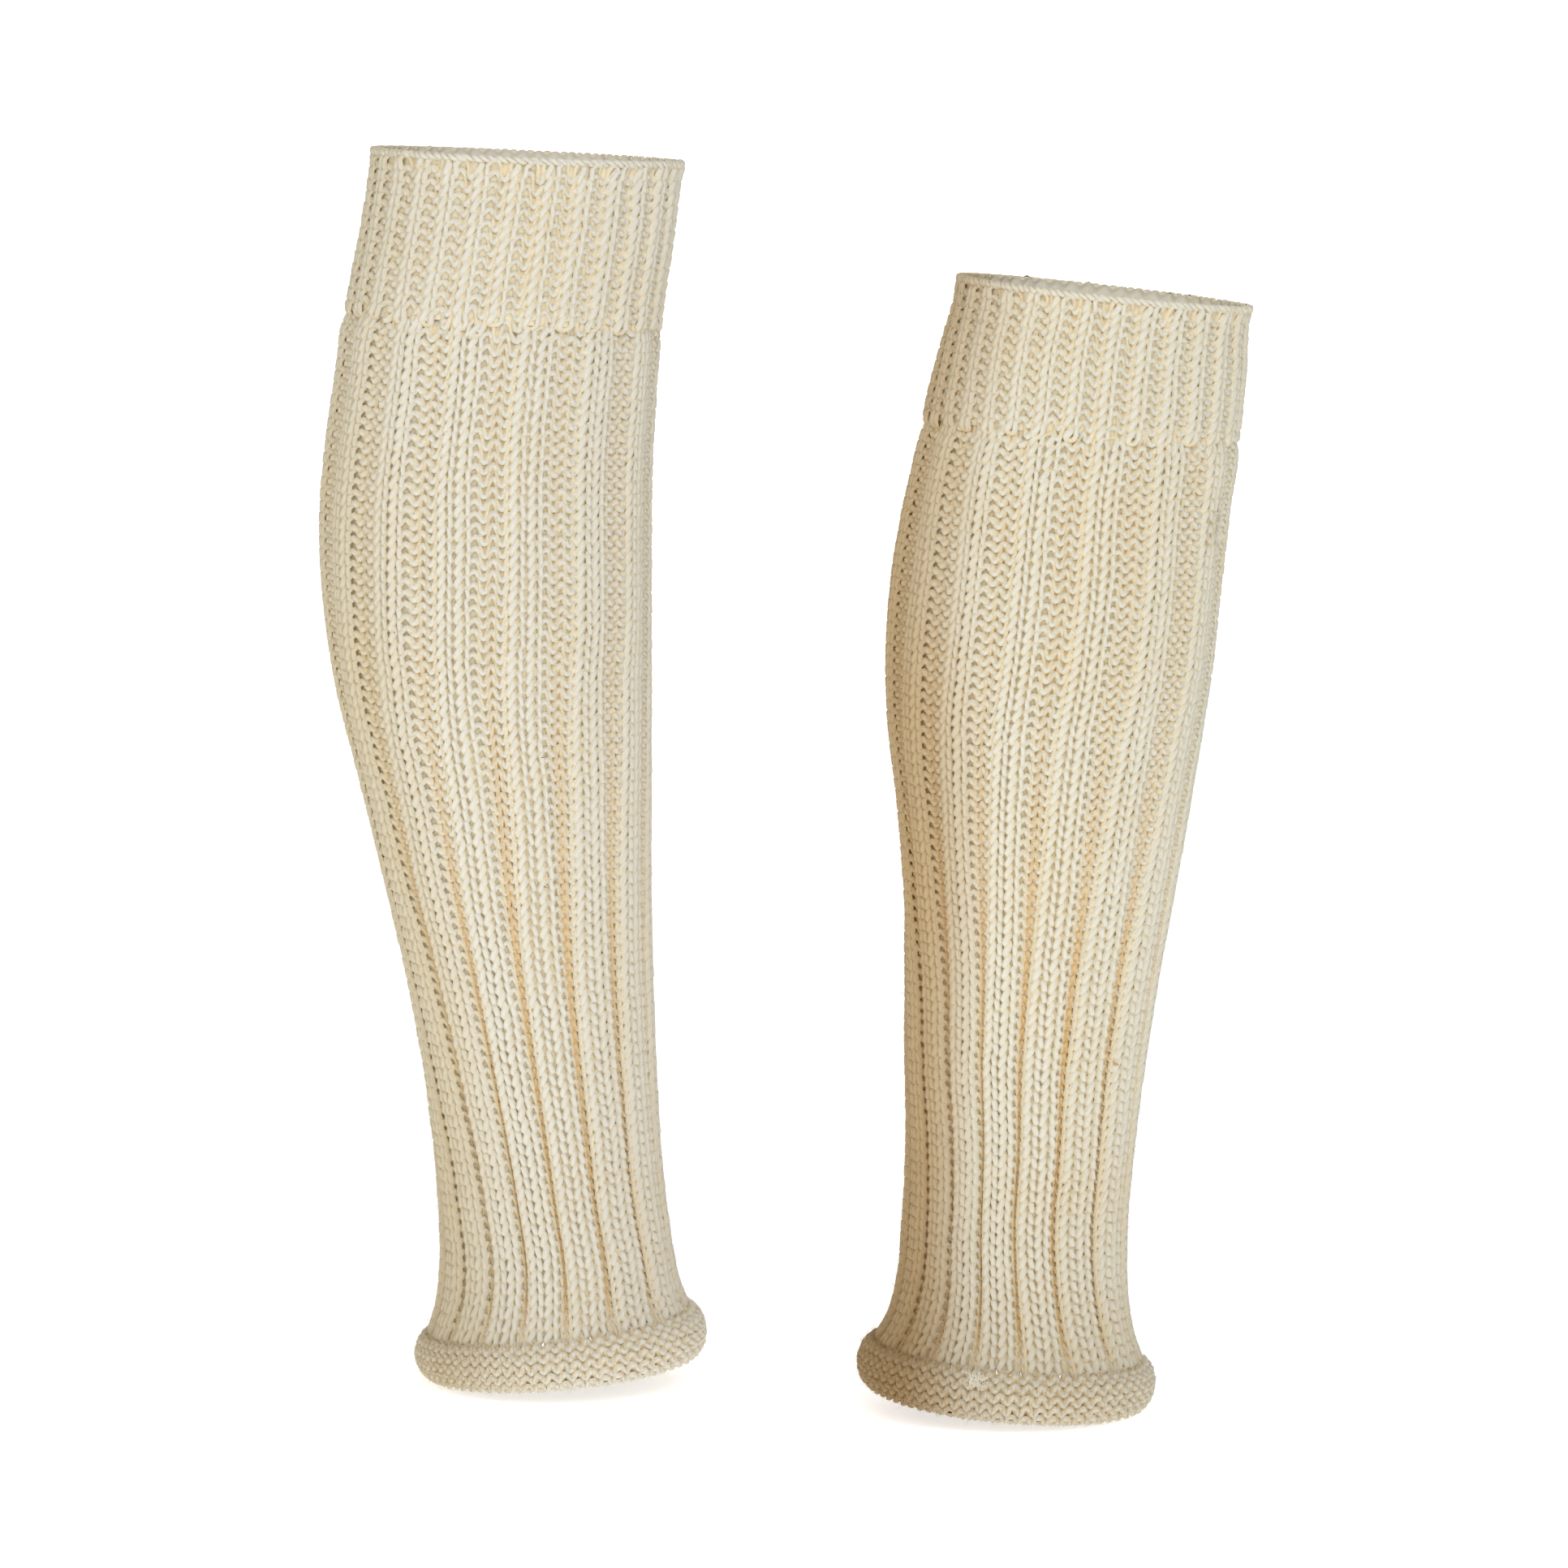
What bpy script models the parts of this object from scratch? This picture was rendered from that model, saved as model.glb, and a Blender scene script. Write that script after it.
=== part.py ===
"""A pair of hand-knitted wool leg warmers, hollow and open at both ends, in the shape that two legs give them.

Each warmer is one knitted tube in three stretches: a cuff in 1x1 rib just below the knee, a leg in 2x2 rib
over the calf and ankle, and a hem in stocking stitch that rolls outwards into a thick ring.

+Z is up and +X is the way the shins face. Seen from -Y the left warmer is on the left. The origin is in the
middle of the left warmer where its cuff meets its leg, which is where it grips the calf.
The tables are in millimetres and degrees, and the meshes in metres.
"""

import math
from collections import namedtuple

import bmesh
import bpy
from mathutils import Matrix, Vector

MM = 0.001
COLLECTION = "leg_warmers"

# Cloth
WALL = 2.4
SEAM_GAP = 0.3

# Ribs, counted round the tube
LEG_RIBS = 14
CUFF_RIBS = 28
SHOULDER_RISE = 0.65
INSIDE_STEP = 2

# Rolled hem: an oval section, measured outwards from the inside of the wall and upwards from the seam
HEM_POINTS = 56
HEM_OUT = 4.8
HEM_HALF_WIDTH = 6.2
HEM_HALF_HEIGHT = 8.8
HEM_SEAT_MARGIN = 0.5
HEM_ARC_POINTS = 8

# Finish
CREAM = (0.80, 0.73, 0.58, 1.0)
WARM_CREAM = (0.77, 0.69, 0.53, 1.0)
ROUGHNESS = 0.95

# Where ribs crowd together on the narrow ankle, as an angle from -Y towards +X
CROWDED_AT = -45.0

# One horizontal section of a tube. z and x place its middle. half_x and half_y are its half sizes over the
# ribs. tilt turns it down towards +X. rib is how far the ribs stand up, and share is how much of a repeat
# they cover. crowd squeezes the ribs towards CROWDED_AT, and twist turns all of them.
Ring = namedtuple("Ring", "z x half_x half_y tilt rib share crowd twist")

# One warmer. place is where its cuff meets its leg. hem_side and hem_front make the hem's roll taller
# towards +X and towards -Y, as shares of its height.
Warmer = namedtuple("Warmer", "name place cuff leg hem_side hem_front colour")

#    z      x    half_x half_y tilt  rib share crowd twist
LEFT_CUFF = (
    Ring(57.6, 8.8, 53.4, 48.2, 2.7, 0.6, 0.50, 0, 5.7),
    Ring(55.6, 8.4, 54.9, 49.6, 2.7, 1.2, 0.50, 0, 5.7),
    Ring(30.8, 5.0, 55.3, 50.0, 3.0, 1.5, 0.50, 0, 5.7),
    Ring(8.0, 1.0, 55.8, 50.5, 3.4, 1.5, 0.50, 0, 5.7),
    Ring(0.0, -0.2, 56.0, 50.7, 3.4, 1.2, 0.50, 0, 5.7),
)
LEFT_LEG = (
    Ring(0.0, -0.2, 55.2, 49.9, 3.4, 1.2, 0.50, 3, 5.5),
    Ring(-4.0, -0.9, 56.1, 50.7, 3.3, 1.6, 0.50, 3, 5.5),
    Ring(-19.0, -2.5, 56.8, 51.2, 3.0, 1.8, 0.50, 3, 5.5),
    Ring(-42.0, -5.0, 57.8, 52.0, 3.0, 1.8, 0.50, 3, 5.5),
    Ring(-71.0, -6.7, 58.8, 52.7, 2.5, 1.8, 0.50, 2, 5.0),
    Ring(-100.0, -6.3, 58.3, 52.3, 2.0, 1.8, 0.50, 1, 4.0),
    Ring(-131.0, -4.2, 56.1, 50.5, 1.5, 2.0, 0.52, 1, 2.0),
    Ring(-163.0, -0.3, 52.1, 47.1, 1.0, 2.2, 0.55, 1, 0.5),
    Ring(-198.0, 3.8, 47.9, 43.3, 0.5, 2.6, 0.58, 3, 0.5),
    Ring(-233.0, 8.1, 44.2, 39.7, 0.0, 3.0, 0.62, 7, 3.0),
    Ring(-271.0, 11.9, 41.7, 37.2, -0.6, 3.2, 0.64, 11, 8.0),
    Ring(-309.0, 15.2, 40.8, 36.2, -1.8, 3.4, 0.66, 15, 14.0),
    Ring(-335.0, 17.2, 42.2, 37.6, -3.2, 3.2, 0.66, 16, 17.0),
    Ring(-348.0, 17.7, 44.0, 39.5, -4.6, 3.0, 0.64, 15, 16.0),
    Ring(-357.5, 17.7, 46.2, 41.8, -6.0, 2.6, 0.62, 14, 15.0),
)
RIGHT_CUFF = (
    Ring(47.4, 8.4, 50.1, 45.4, 6.2, 0.6, 0.50, 6, 2.0),
    Ring(45.4, 8.0, 51.5, 46.6, 6.2, 1.2, 0.50, 6, 2.2),
    Ring(24.5, 4.5, 53.4, 48.3, 5.5, 1.5, 0.50, 8, 4.0),
    Ring(8.0, 1.5, 54.8, 49.5, 4.4, 1.5, 0.50, 9, 6.0),
    Ring(0.0, 0.2, 55.2, 49.9, 3.8, 1.2, 0.50, 10, 6.5),
)
RIGHT_LEG = (
    Ring(0.0, 0.2, 54.4, 49.2, 3.8, 1.2, 0.50, 7, 2.0),
    Ring(-4.0, -0.3, 55.2, 49.9, 3.9, 1.6, 0.50, 7, 2.0),
    Ring(-20.5, -3.5, 56.3, 50.8, 4.0, 1.8, 0.50, 7, 3.0),
    Ring(-48.5, -7.8, 57.6, 51.8, 4.0, 1.8, 0.50, 7, 5.0),
    Ring(-77.0, -10.4, 57.3, 51.6, 4.0, 1.8, 0.50, 6, 4.0),
    Ring(-105.0, -12.1, 54.9, 49.5, 4.0, 2.0, 0.52, 7, 2.0),
    Ring(-133.5, -12.7, 51.0, 46.1, 4.0, 2.2, 0.54, 8, 1.0),
    Ring(-162.0, -14.0, 47.5, 42.8, 4.0, 2.6, 0.58, 10, 2.0),
    Ring(-190.5, -16.1, 44.7, 40.2, 4.0, 3.0, 0.62, 14, 5.0),
    Ring(-219.5, -18.2, 42.5, 37.9, 4.0, 3.2, 0.64, 16, 7.0),
    Ring(-248.0, -19.7, 40.5, 36.0, 4.1, 3.4, 0.66, 18, 10.0),
    Ring(-277.0, -21.4, 39.9, 35.4, 4.3, 3.4, 0.66, 20, 12.0),
    Ring(-303.0, -22.3, 41.3, 36.8, 4.6, 3.2, 0.66, 17, 13.0),
    Ring(-315.5, -22.8, 43.8, 39.3, 4.6, 3.0, 0.64, 14, 12.5),
    Ring(-323.3, -23.6, 46.4, 42.0, 4.8, 2.6, 0.62, 13, 12.5),
)
WARMERS = (
    Warmer("left", (0.0, 0.0, 0.0), LEFT_CUFF, LEFT_LEG, 0.06, 0.03, CREAM),
    Warmer("right", (201.0, -45.0, -35.5), RIGHT_CUFF, RIGHT_LEG, 0.0, 0.06, WARM_CREAM),
)


def clear_scene():
    for obj in list(bpy.data.objects):
        bpy.data.objects.remove(obj, do_unlink=True)


def wool(name, colour):
    material = bpy.data.materials.new(name)
    material.use_nodes = True
    shader = material.node_tree.nodes["Principled BSDF"]
    shader.inputs["Base Color"].default_value = colour
    shader.inputs["Roughness"].default_value = ROUGHNESS
    shader.inputs["Metallic"].default_value = 0.0
    return material


def moved(ring, up):
    """The same section, higher by up."""
    return ring._replace(z=ring.z + up)


def rib_angle(ring, turn):
    """The angle of a place on the ribs, where turn is its share of the whole round."""
    even = math.tau * turn
    crowded = math.radians(ring.crowd) * math.sin(even - math.radians(CROWDED_AT))
    return even - crowded + math.radians(ring.twist)


def section_point(ring, angle, inset, up=0.0):
    """A point on a section, inset from its outline over the ribs, and up from its plane."""
    flat = Vector(((ring.half_x - inset) * math.sin(angle), -(ring.half_y - inset) * math.cos(angle), up))
    middle = Vector((ring.x, 0.0, ring.z))
    return middle + Matrix.Rotation(math.radians(ring.tilt), 3, "Y") @ flat


def wide_rib(share):
    """One repeat of 2x2 rib: (place, rise) pairs from the groove's middle, over a rounded rib."""
    return (
        (0.0, 0.0),
        (0.5 - share / 2, SHOULDER_RISE),
        (0.5 - share / 4, 1.0),
        (0.5 + share / 4, 1.0),
        (0.5 + share / 2, SHOULDER_RISE),
    )


def narrow_rib(share):
    """One repeat of 1x1 rib: (place, rise) pairs from the groove's middle."""
    return ((0.0, 0.0), (0.5 - share / 2, 1.0), (0.5 + share / 2, 1.0))


def wall_section(ring, ribs, repeat, inside=False):
    """All the points of a section, on the ribs outside or on the plain inside."""
    points = []
    for rib in range(ribs):
        for place, rise in repeat(ring.share):
            angle = rib_angle(ring, (rib + place) / ribs)
            inset = ring.rib + WALL if inside else ring.rib * (1.0 - rise)
            points.append(section_point(ring, angle, inset))
    return points


def closed_loft(sections):
    """A mesh of quads between sections of equal length, the last joined to the first."""
    mesh = bmesh.new()
    rows = [[mesh.verts.new(point * MM) for point in section] for section in sections]
    for row, following in zip(rows, rows[1:] + rows[:1]):
        for i in range(len(row)):
            mesh.faces.new((row[i - 1], following[i - 1], following[i], row[i]))
    return mesh


def finish(mesh, name, parent, material):
    """Makes the mesh an object under its warmer's empty."""
    bmesh.ops.recalc_face_normals(mesh, faces=mesh.faces)
    data = bpy.data.meshes.new(name)
    mesh.to_mesh(data)
    mesh.free()
    data.materials.append(material)
    data.shade_smooth()
    data.set_sharp_from_angle(angle=math.radians(50))
    obj = bpy.data.objects.new(name, data)
    obj.parent = parent
    bpy.data.collections[COLLECTION].objects.link(obj)


def ribbed_tube(name, rings, ribs, repeat, parent, material):
    """A wall open at both ends: down the ribs outside, then up the plain inside by every other ring."""
    outside = [wall_section(ring, ribs, repeat) for ring in rings]
    inside = [wall_section(ring, ribs, repeat, inside=True) for ring in rings[::-INSIDE_STEP]]
    finish(closed_loft(outside + inside), name, parent, material)


def hem_profile(ring, height):
    """The roll's section as (out, up) pairs: a flat seat under the wall, then an oval round it."""
    crest = WALL + ring.rib
    seat = -SEAM_GAP / 2
    half_height = HEM_HALF_HEIGHT * height
    start = math.acos((crest + HEM_SEAT_MARGIN - HEM_OUT) / HEM_HALF_WIDTH)
    middle_up = HEM_SEAT_MARGIN - half_height * math.sin(start)
    profile = [(0.0, seat), (crest + HEM_SEAT_MARGIN, seat)]
    for i in range(HEM_ARC_POINTS + 1):
        angle = start - (start + math.pi) * i / HEM_ARC_POINTS
        out = HEM_OUT + HEM_HALF_WIDTH * math.cos(angle)
        profile.append((out, middle_up + half_height * math.sin(angle)))
    return profile


def rolled_hem(name, ring, warmer, parent, material):
    """The roll, as a loft of its own section all the way round the seam."""
    sections = []
    for i in range(HEM_POINTS):
        angle = math.tau * i / HEM_POINTS
        height = 1.0 + warmer.hem_side * math.sin(angle) + warmer.hem_front * math.cos(angle)
        profile = hem_profile(ring, height)
        inset = WALL + ring.rib
        sections.append([section_point(ring, angle, inset - out, up) for out, up in profile])
    finish(closed_loft(sections), name, parent, material)


def build(warmer):
    parent = bpy.data.objects.new(warmer.name + "_warmer", None)
    parent.location = Vector(warmer.place) * MM
    bpy.data.collections[COLLECTION].objects.link(parent)
    material = wool(warmer.name + "_wool", warmer.colour)
    half_gap = SEAM_GAP / 2

    cuff = warmer.cuff[:-1] + (moved(warmer.cuff[-1], half_gap),)
    ribbed_tube(warmer.name + "_cuff", cuff, CUFF_RIBS, narrow_rib, parent, material)

    top, *middle, bottom = warmer.leg
    leg = [moved(top, -half_gap), *middle, moved(bottom, half_gap)]
    ribbed_tube(warmer.name + "_leg", leg, LEG_RIBS, wide_rib, parent, material)

    rolled_hem(warmer.name + "_hem", bottom, warmer, parent, material)


clear_scene()
bpy.context.scene.collection.children.link(bpy.data.collections.new(COLLECTION))
for each in WARMERS:
    build(each)
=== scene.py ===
"""Looks of the hand-knitted leg warmers: every stitch is a loop of wool yarn laid on its solid's form.

Courses run from the cast-on edge down to the hem, as the warmers were knitted, so the knit stitches
point upwards. s counts wales round the tube, v counts courses downwards and out is in millimetres
from the crest of the ribs. Sizes are in millimetres, and in metres for the stage and the flat sizes.
"""

import math
from collections import namedtuple

import bpy
import numpy as np
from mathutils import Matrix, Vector


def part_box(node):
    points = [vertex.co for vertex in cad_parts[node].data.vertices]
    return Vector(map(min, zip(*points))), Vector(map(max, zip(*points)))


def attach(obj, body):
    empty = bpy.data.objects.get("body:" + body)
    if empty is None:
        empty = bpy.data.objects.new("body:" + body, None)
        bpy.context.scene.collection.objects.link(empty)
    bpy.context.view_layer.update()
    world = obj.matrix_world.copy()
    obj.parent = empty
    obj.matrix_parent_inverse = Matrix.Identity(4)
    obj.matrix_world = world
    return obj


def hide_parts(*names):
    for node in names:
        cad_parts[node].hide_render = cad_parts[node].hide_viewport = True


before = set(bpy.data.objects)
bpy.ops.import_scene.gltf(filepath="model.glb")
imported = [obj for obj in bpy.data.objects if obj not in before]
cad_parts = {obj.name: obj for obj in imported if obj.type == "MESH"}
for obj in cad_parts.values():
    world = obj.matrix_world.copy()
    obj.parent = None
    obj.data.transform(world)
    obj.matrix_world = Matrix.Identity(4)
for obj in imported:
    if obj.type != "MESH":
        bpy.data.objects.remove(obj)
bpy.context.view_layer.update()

MM = 0.001
SEED = 7

# Stitches round a warmer, and the points of a stitch's yarn, closer together at its head and foot
WALES = 56
POINTS = 10
CROWDED_TURNS = 0.18

# Where the ribs crowd together, as an angle from the side that the photograph shows, towards the calf
CROWDED_AT = math.radians(-45.0)

# Yarn, in millimetres, and the shape of a loop: bulges and lean in wales, reach in courses. A loop's
# first leg is the looser and thicker one.
YARN = 1.2
SWING = 0.92
KNIT_BULGE = 0.20
PURL_BULGE = 0.06
LEAN = 0.10
REACH = 0.73
LOOSE_LEG = 0.16
PURL_YARN = 0.96
PURL_REACH = 0.10
PURL_SHIFT = 0.12
TURNOVER = 0.16
TURN_SHIFT = -0.07

# How much one stitch differs from the next: in courses, in wales, in thickness as a share, and in
# millimetres outwards. Stitches at a stretch's edge differ more.
UNEVEN_DOWN = 0.04
UNEVEN_ACROSS = 0.03
UNEVEN_YARN = 0.07
UNEVEN_OUT = 0.08
EDGE_SLACK = 3.0

# How far wales drift, in wales, and over how many courses and wales
DRIFT = 0.05
DRIFT_COURSES = 6
DRIFT_WALES = 4

# Yarns stand out this far past the solid's crests
LIFT = 0.6

# How far in from the crests lie the face behind the yarns and a tube's lining
CUFF_BACK = 1.85
LEG_BACK = 2.2
HEM_BACK = 1.9
LINING = 3.3

# Quads of a face round the tube. Its first course, how far past the last one it ends, and quads down it
ACROSS = 2 * WALES
CUFF_FACE = (0.25, 0.35, 26)
CUFF_LINING = (0.0, 0.8, 20)
LEG_FACE = (0.05, -0.05, 44)
LEG_LINING = (-0.25, 0.0, 44)
HEM_FACE = (0.0, 1.2, 28)

# A yarn's section, as angles from the outward normal: whole, or open towards the inside. Past the
# last cosine it looks inwards and its painted shade is turned round, and its sides look less to the
# front than its crest, so they take more painted shade.
WHOLE = (-135.0, -45.0, 45.0, 135.0)
OPEN = (-115.0, -38.0, 38.0, 115.0)
INWARDS = -0.6
SIDE_FRONT = 0.72
CREST_FRONT = 0.28

# A course's share of its row in the map, the margin under it, and the plies' offset to the next course
BAND = 0.94
BAND_MARGIN = 0.03
PLY_OFFSET = 3.7

# The cast-on chain: its course, how far out, its swing outwards and, as a share of that, in courses,
# its yarn, points a link and how much the yarn swells, over some wales
CHAIN_AT = 0.22
CHAIN_OUT = -1.3
CHAIN_SWING = 0.75
CHAIN_DOWN = 0.22
CHAIN_YARN = 0.95
CHAIN_POINTS = 8
CHAIN_SWELL = 0.1
CHAIN_SWELLS = 5
# How much its strands face the front, which sets their painted shade: a level, and its change as they wind
CHAIN_FRONT = (0.75, 0.25)

# A rib: wales in a repeat, where its first groove's middle is, and how much narrower than in the
# solid its grooves get
Rib = namedtuple("Rib", "repeat first gain")
CUFF_RIB = Rib(2, 0.5, 1.0)
LEG_RIB = Rib(4, 0.0, 1.75)

# A groove's form: the sine's power where the tube is stretched, and its width and power where it closes
WIDE_POWER = 1.3
CLOSED_WIDTH = 0.75
CLOSED_POWER = 4

# A ring is a section at a height: its middle, half sizes and tilt, its ribs' height, the share that
# knit wales take of a repeat, and by how many degrees ribs crowd and turn. A warmer has its rings,
# its courses, and how much taller its hem is, as a share, at the shin and on the side shown. A part
# is one stretch of it, with the face that stands for its cloth and its size when laid flat.
Ring = namedtuple("Ring", "z x half_x half_y tilt rib share crowd twist")
Warmer = namedtuple("Warmer", "name place cuff leg cuff_rows leg_rows hem_side hem_front")
Part = namedtuple("Part", "surface stitches inside linings flat")

#    z      x    half_x half_y tilt  rib share crowd twist
LEFT_CUFF = (
    Ring(57.6, 8.8, 55.3, 50.0, 2.7, 0.9, 0.50, 0, 5.7),
    Ring(55.6, 8.5, 55.2, 49.6, 2.7, 1.2, 0.50, 0, 5.7),
    Ring(30.8, 5.0, 55.3, 50.0, 3.0, 1.5, 0.50, 0, 5.7),
    Ring(8.0, 1.0, 55.8, 50.5, 3.4, 1.5, 0.50, 0, 5.7),
    Ring(0.0, -0.2, 56.0, 50.7, 3.4, 1.2, 0.50, 0, 5.7),
)
LEFT_LEG = (
    Ring(0.0, -0.2, 55.2, 49.9, 3.4, 1.2, 0.50, 3, 5.5),
    Ring(-4.0, -0.9, 56.1, 50.7, 3.3, 1.6, 0.50, 3, 5.5),
    Ring(-19.0, -2.5, 56.8, 51.2, 3.0, 1.8, 0.50, 3, 5.5),
    Ring(-42.0, -5.0, 57.8, 52.0, 3.0, 1.8, 0.50, 3, 5.5),
    Ring(-71.0, -6.7, 58.8, 52.7, 2.5, 1.8, 0.50, 2, 5.0),
    Ring(-100.0, -6.3, 58.3, 52.3, 2.0, 1.8, 0.50, 1, 4.0),
    Ring(-131.0, -4.2, 56.1, 50.5, 1.5, 2.0, 0.52, 1, 2.0),
    Ring(-163.0, -0.3, 52.1, 47.1, 1.0, 2.2, 0.55, 1, 0.5),
    Ring(-198.0, 3.8, 47.9, 43.3, 0.5, 2.6, 0.58, 3, 0.5),
    Ring(-233.0, 8.1, 44.2, 39.7, 0.0, 3.0, 0.62, 7, 3.0),
    Ring(-271.0, 11.9, 41.7, 37.2, -0.6, 3.2, 0.64, 11, 8.0),
    Ring(-309.0, 15.2, 40.8, 36.2, -1.8, 3.4, 0.66, 15, 14.0),
    Ring(-335.0, 17.2, 42.2, 37.6, -3.2, 3.2, 0.66, 16, 17.0),
    Ring(-348.0, 17.7, 44.0, 39.5, -4.6, 3.0, 0.64, 15, 16.0),
    Ring(-357.5, 17.7, 46.2, 41.8, -6.0, 2.6, 0.62, 14, 15.0),
)
RIGHT_CUFF = (
    Ring(47.4, 8.4, 51.7, 46.8, 6.2, 0.9, 0.50, 6, 2.0),
    Ring(45.4, 8.0, 51.5, 46.6, 6.2, 1.2, 0.50, 6, 2.2),
    Ring(24.5, 4.5, 53.4, 48.3, 5.5, 1.5, 0.50, 8, 4.0),
    Ring(8.0, 1.5, 54.8, 49.5, 4.4, 1.5, 0.50, 9, 6.0),
    Ring(0.0, 0.2, 55.2, 49.9, 3.8, 1.2, 0.50, 10, 6.5),
)
RIGHT_LEG = (
    Ring(0.0, 0.2, 54.4, 49.2, 3.8, 1.2, 0.50, 7, 2.0),
    Ring(-4.0, -0.3, 55.2, 49.9, 3.9, 1.6, 0.50, 7, 2.0),
    Ring(-20.5, -3.5, 56.3, 50.8, 4.0, 1.8, 0.50, 7, 3.0),
    Ring(-48.5, -7.8, 57.6, 51.8, 4.0, 1.8, 0.50, 7, 5.0),
    Ring(-77.0, -10.4, 57.3, 51.6, 4.0, 1.8, 0.50, 6, 4.0),
    Ring(-105.0, -12.1, 54.9, 49.5, 4.0, 2.0, 0.52, 7, 2.0),
    Ring(-133.5, -12.7, 51.0, 46.1, 4.0, 2.2, 0.54, 8, 1.0),
    Ring(-162.0, -14.0, 47.5, 42.8, 4.0, 2.6, 0.58, 10, 2.0),
    Ring(-190.5, -16.1, 44.7, 40.2, 4.0, 3.0, 0.62, 14, 5.0),
    Ring(-219.5, -18.2, 42.5, 37.9, 4.0, 3.2, 0.64, 16, 7.0),
    Ring(-248.0, -19.7, 40.5, 36.0, 4.1, 3.4, 0.66, 18, 10.0),
    Ring(-277.0, -21.4, 39.9, 35.4, 4.3, 3.4, 0.66, 20, 12.0),
    Ring(-303.0, -22.3, 41.3, 36.8, 4.6, 3.2, 0.66, 17, 13.0),
    Ring(-315.5, -22.8, 43.8, 39.3, 4.6, 3.0, 0.64, 14, 12.5),
    Ring(-323.3, -23.6, 46.4, 42.0, 4.8, 2.6, 0.62, 13, 12.5),
)

WARMERS = (
    Warmer("left", (0.0, 0.0, 0.0), LEFT_CUFF, LEFT_LEG, 13, 87, 0.06, 0.03),
    Warmer("right", (201.0, -45.0, -35.5), RIGHT_CUFF, RIGHT_LEG, 12, 83, 0.0, 0.06),
)

# The cuff's first course, and the courses' height that it has to spare
CUFF_FIRST = 0.55
CUFF_SPARE = 0.5

# The leg's stitches are cut into this many pieces
LEG_SPANS = 3

# The hem's oval, as the solid has it
WALL = 2.4
HEM_OUT = 4.8
HEM_HALF_WIDTH = 6.2
HEM_HALF_HEIGHT = 8.8
HEM_SEAT_MARGIN = 0.5

# Its courses, the angle in degrees where they start, their spacing, the first one's place, and the
# steps in which the way round the oval is measured
HEM_ROWS = 10
HEM_FROM = 112.0
HEM_PITCH = 3.8
HEM_FIRST = 0.75
HEM_STEPS = 720

# Over its last courses the leg flares out to the hem and its ribs grow flatter
FLARE_COURSES = 4.0
FLARE = 1.3
FLAT_END = 0.45

# Under the cuff it is drawn in, over this many courses
SEAM_DIP = 1.1
SEAM_REACH = 0.7

# Where purl wales close up, the share that knit wales gain and what becomes of the yarns
CLOSED = 0.27
CLOSED_PURL = 0.35
CLOSED_KNIT = 0.14
CLOSED_SWING = 0.6
CLOSED_LEAN = 0.6

# Sizes of the cuff, leg and hem round the tube and of the hem down it, cut open and laid flat, in metres
CUFF_FLAT = 0.33
LEG_FLAT = 0.31
HEM_FLAT = (0.30, 0.036)

# Loose fibres on each stretch, and a fibre's width, at its tip as a share of that at its root
CUFF_FUZZ = 3500
LEG_FUZZ = 11000
HEM_FUZZ = 2500
FIBRE = 0.1
TIP = 0.4

# They start up to so deep, rise by up to a share of their way along the cloth, have lengths of a
# gamma distribution of this shape and scale, and bend and droop halfway. Their faces turn at random,
# and they take a share of the groove's depth for the painted shade in their colour.
FUZZ_DEPTH = 1.2
FUZZ_RISE = 0.75
FUZZ_SHAPE = 6.0
FUZZ_SCALE = 0.42
FUZZ_BEND = 0.45
FUZZ_DROOP = 0.25
FUZZ_TURN = 0.3
FUZZ_GROOVE = 0.5

# A step along a course, in wales, that gives the course's direction
STEP = 0.1

# How much of the side of its cell in the map a fibre fills
CELL = 0.9

# Wool at the front of a loop, painted warm shade behind it and painted darker shade deep in a
# groove, and the tints of stained patches, of painted shade on the side over the calf, and of
# painted shade that darkens the end at the ankle
COLOURS = {
    "left": (
        (0.89, 0.865, 0.765, 1),
        (0.96, 0.86, 0.64, 1),
        (0.91, 0.63, 0.27, 1),
        (1.0, 0.93, 0.80, 1),
        (0.91, 0.86, 0.75, 1),
        (0.80, 0.77, 0.73, 1),
    ),
    "right": (
        (0.88, 0.85, 0.725, 1),
        (0.95, 0.83, 0.585, 1),
        (0.88, 0.58, 0.22, 1),
        (1.0, 0.90, 0.72, 1),
        (0.70, 0.555, 0.38, 1),
        (0.51, 0.435, 0.345, 1),
    ),
}

# The hem's painted shade behind a loop takes this share of the painted shade deep in a groove
HEM_DEEPER = 0.25

LOOSE_WOOL = (0.94, 0.895, 0.765, 1)
CHAFF_DARK = (0.10, 0.06, 0.03, 1)
CHAFF_TAN = (0.66, 0.45, 0.22, 1)
SHEEN = (1.0, 0.88, 0.66, 1.0)

# The values between which a look comes in: the front of a loop, a groove's depth, the noise of
# patches, the nearness to the calf's side, and the noise of fibres
FRONT_RANGE = (0.1, 0.9)
GROOVE_RANGE = (1.5, 3.2)
PATCH_RANGE = (0.45, 0.75)
REAR_RANGE = (0.35, 1.0)
FIBRE_RANGE = (0.3, 0.7)

# The share of a groove's painted deep shade that the front of a loop takes, how strong patches are,
# and how fibres vary the tone
SUNK_FRONT = 0.8
PATCHES = 0.3
FIBRE_TONES = (0.95, 1.03)

# Scales and details of the noises of patches, fibres and specks, and the specks' height in the relief
PATCH_NOISE = (28.0, 3.0)
FIBRE_NOISE = (2.2, 4.0)
SPECK_NOISE = (900.0, 3.0)
SPECKS = 0.7

# The relief of the lining's courses: how far they wave, their height, and the painted shade
# between them
WAVE = 0.22
COURSE_HEIGHT = 3.0
COURSE_RANGE = (0.1, 0.7)
COURSE_TONES = (0.3, 1.0)

# The painted shade on the calf's side: its strength at the cuff, and what it gains from there over
# a length
REAR_AT_CUFF = 0.8
REAR_GAIN = 0.35
REAR_OVER = 120.0

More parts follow.
